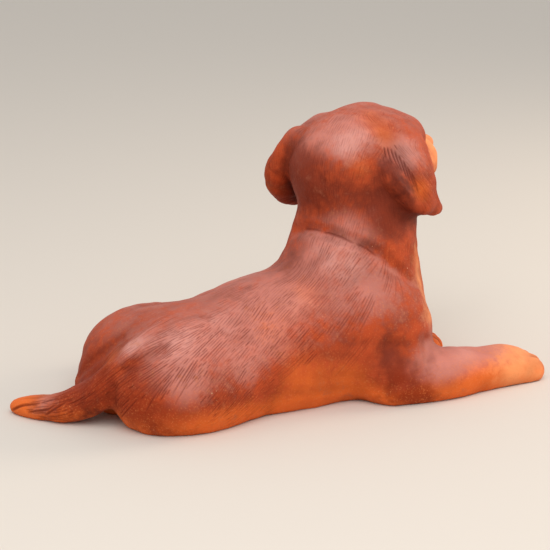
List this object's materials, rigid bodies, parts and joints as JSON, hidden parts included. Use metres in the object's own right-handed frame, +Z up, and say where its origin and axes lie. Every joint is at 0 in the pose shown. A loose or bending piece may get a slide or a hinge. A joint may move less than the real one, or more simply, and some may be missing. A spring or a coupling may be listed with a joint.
{
  "type": "dog figurine",
  "caption": "Solid carved figurine of a setter lying on its hip, head turned to its left, forelegs stretched out and tail curled on the ground.",
  "frame": {"origin": "on the ground under the middle of the figure's bounding box", "axes": "+X towards the forepaws, +Y to the dog's left, +Z up"},
  "size_m": [0.2233, 0.1183, 0.1178],
  "materials": {
    "painted_carving": "satin red-brown paint with mauve and orange shading, worn thin on the high places"
  },
  "bodies": {
    "root": {"lying_setter": "painted_carving"}
  },
  "joints": []
}
